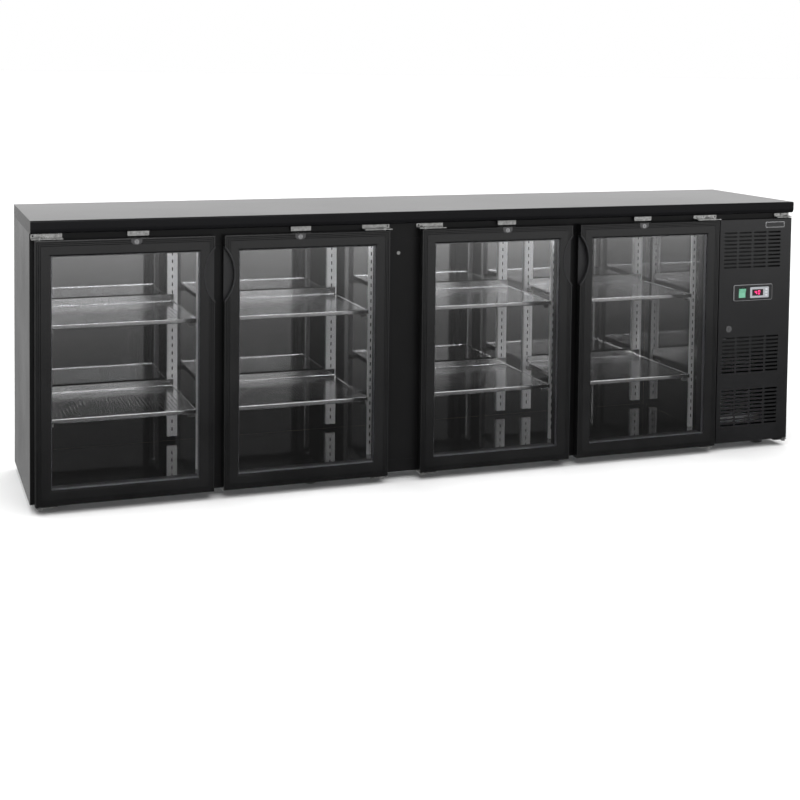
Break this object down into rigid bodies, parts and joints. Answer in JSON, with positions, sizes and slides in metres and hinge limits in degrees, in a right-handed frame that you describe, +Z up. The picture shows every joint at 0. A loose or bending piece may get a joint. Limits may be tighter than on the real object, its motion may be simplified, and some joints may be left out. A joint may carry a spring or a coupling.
{
  "type": "under counter fridge",
  "caption": "Wide black back bar cooler with glass doors over slotted-upright shelves, a worktop and a louvred machine compartment at its right.",
  "frame": {"origin": "on the floor under the middle of the whole object", "axes": "+Z up, the doors face -Y, +X runs along the front to the machine compartment"},
  "size_m": [2.542, 0.526, 0.845],
  "materials": {
    "case_black": "black powder coat, satin",
    "worktop_black": "smooth black laminate with a gloss sheen",
    "door_black": "extruded black door section, satin",
    "liner_steel": "polished sheet that mirrors the shelves",
    "shelf_steel": "perforated bright sheet",
    "upright_steel": "bright slotted channel",
    "zinc": "bright zinc plate",
    "galvanised": "spangled galvanised sheet",
    "spacer_metal": "matt spacer bar",
    "glass": "clear double glazing",
    "gasket_rubber": "soft magnetic gasket",
    "black_plastic": "moulded plastic, fine grain",
    "chrome": "polished lock cylinder",
    "control_grey": "moulded light grey front",
    "button_grey": "moulded key",
    "rocker_green": "translucent pale green",
    "foam": "foamed insulation",
    "copper": "drawn copper tube",
    "compressor_black": "black enamel",
    "fan_metal": "pressed blades",
    "white_plastic": "lamp cover",
    "badge": "plain plate with no mark"
  },
  "bodies": {
    "cabinet": {"worktop": "worktop_black", "left_side_panel": "case_black", "right_side_panel": "case_black", "back_panel": "galvanised", "base_panel": "galvanised", "insulation": "foam", "inner_liner": "liner_steel", "evaporator_coil": "copper", "front_frame": "case_black", "hinge_brackets": "zinc", "lock_strikes": "zinc", "screws": "zinc", "slotted_uprights": "upright_steel", "shelf_clips": "zinc", "upper_shelves": "shelf_steel", "lower_shelves": "shelf_steel", "led_lamp": "white_plastic", "condenser": "fan_metal", "fan_shroud": "galvanised", "fan_motor": "compressor_black", "compressor": "compressor_black", "refrigerant_pipes": "copper", "electrical_box": "black_plastic", "drain_pan": "black_plastic", "cable_gland": "black_plastic", "feet": "black_plastic"},
    "door_1": {"door_1_frame": "door_black", "door_1_glass": "glass", "door_1_spacer": "spacer_metal", "door_1_gasket": "gasket_rubber", "door_1_handle": "black_plastic"},
    "door_1_cam": {"door_1_lock": "chrome"},
    "door_2": {"door_2_frame": "door_black", "door_2_glass": "glass", "door_2_spacer": "spacer_metal", "door_2_gasket": "gasket_rubber", "door_2_handle": "black_plastic"},
    "door_2_cam": {"door_2_lock": "chrome"},
    "door_3": {"door_3_frame": "door_black", "door_3_glass": "glass", "door_3_spacer": "spacer_metal", "door_3_gasket": "gasket_rubber", "door_3_handle": "black_plastic"},
    "door_3_cam": {"door_3_lock": "chrome"},
    "door_4": {"door_4_frame": "door_black", "door_4_glass": "glass", "door_4_spacer": "spacer_metal", "door_4_gasket": "gasket_rubber", "door_4_handle": "black_plastic"},
    "door_4_cam": {"door_4_lock": "chrome"},
    "machine_door": {"machine_panel": "case_black", "control_bezel": "black_plastic", "thermostat": "control_grey", "badge_plate": "badge"},
    "panel_cam": {"panel_lock": "chrome"},
    "rocker": {"rocker_switch": "rocker_green"},
    "button_up_key": {"button_up": "button_grey"},
    "button_set_key": {"button_set": "button_grey"},
    "button_down_key": {"button_down": "button_grey"},
    "fan": {"fan_blade": "fan_metal"}
  },
  "joints": [
    {"name": "door_1_hinge", "type": "hinge", "parent": "cabinet", "child": "door_1", "pos_m": [-1.246, -0.247, 0.407], "axis": [0, 0, -1], "range_deg": [0, 90]},
    {"name": "door_1_lock_turn", "type": "hinge", "parent": "door_1", "child": "door_1_cam", "pos_m": [-0.973, -0.243, 0.779], "axis": [0, -1, 0], "range_deg": [0, 90]},
    {"name": "door_2_hinge", "type": "hinge", "parent": "cabinet", "child": "door_2", "pos_m": [-0.21, -0.247, 0.407], "axis": [0, 0, 1], "range_deg": [0, 90]},
    {"name": "door_2_lock_turn", "type": "hinge", "parent": "door_2", "child": "door_2_cam", "pos_m": [-0.483, -0.243, 0.779], "axis": [0, -1, 0], "range_deg": [0, 90]},
    {"name": "door_3_hinge", "type": "hinge", "parent": "cabinet", "child": "door_3", "pos_m": [-0.076, -0.247, 0.407], "axis": [0, 0, -1], "range_deg": [0, 90]},
    {"name": "door_3_lock_turn", "type": "hinge", "parent": "door_3", "child": "door_3_cam", "pos_m": [0.197, -0.243, 0.779], "axis": [0, -1, 0], "range_deg": [0, 90]},
    {"name": "door_4_hinge", "type": "hinge", "parent": "cabinet", "child": "door_4", "pos_m": [0.96, -0.247, 0.407], "axis": [0, 0, 1], "range_deg": [0, 90]},
    {"name": "door_4_lock_turn", "type": "hinge", "parent": "door_4", "child": "door_4_cam", "pos_m": [0.687, -0.243, 0.779], "axis": [0, -1, 0], "range_deg": [0, 90]},
    {"name": "machine_door_hinge", "type": "hinge", "parent": "cabinet", "child": "machine_door", "pos_m": [1.263, -0.235, 0.407], "axis": [0, 0, 1], "range_deg": [0, 100]},
    {"name": "panel_lock_turn", "type": "hinge", "parent": "machine_door", "child": "panel_cam", "pos_m": [1.029, -0.233, 0.417], "axis": [0, 1, 0], "range_deg": [0, 90]},
    {"name": "rocker_tilt", "type": "hinge", "parent": "machine_door", "child": "rocker", "pos_m": [1.077, -0.242, 0.5385], "axis": [-1, 0, 0], "range_deg": [0, 16]},
    {"name": "button_up_press", "type": "slide", "parent": "machine_door", "child": "button_up_key", "axis": [0, 1, 0], "range_m": [0, 0.001], "stiffness_N_per_m": 400},
    {"name": "button_set_press", "type": "slide", "parent": "machine_door", "child": "button_set_key", "axis": [0, 1, 0], "range_m": [0, 0.001], "stiffness_N_per_m": 400},
    {"name": "button_down_press", "type": "slide", "parent": "machine_door", "child": "button_down_key", "axis": [0, 1, 0], "range_m": [0, 0.001], "stiffness_N_per_m": 400},
    {"name": "fan_spin", "type": "hinge", "parent": "cabinet", "child": "fan", "pos_m": [1.11675, -0.1069, 0.189], "axis": [0, 1, 0], "continuous": true}
  ]
}
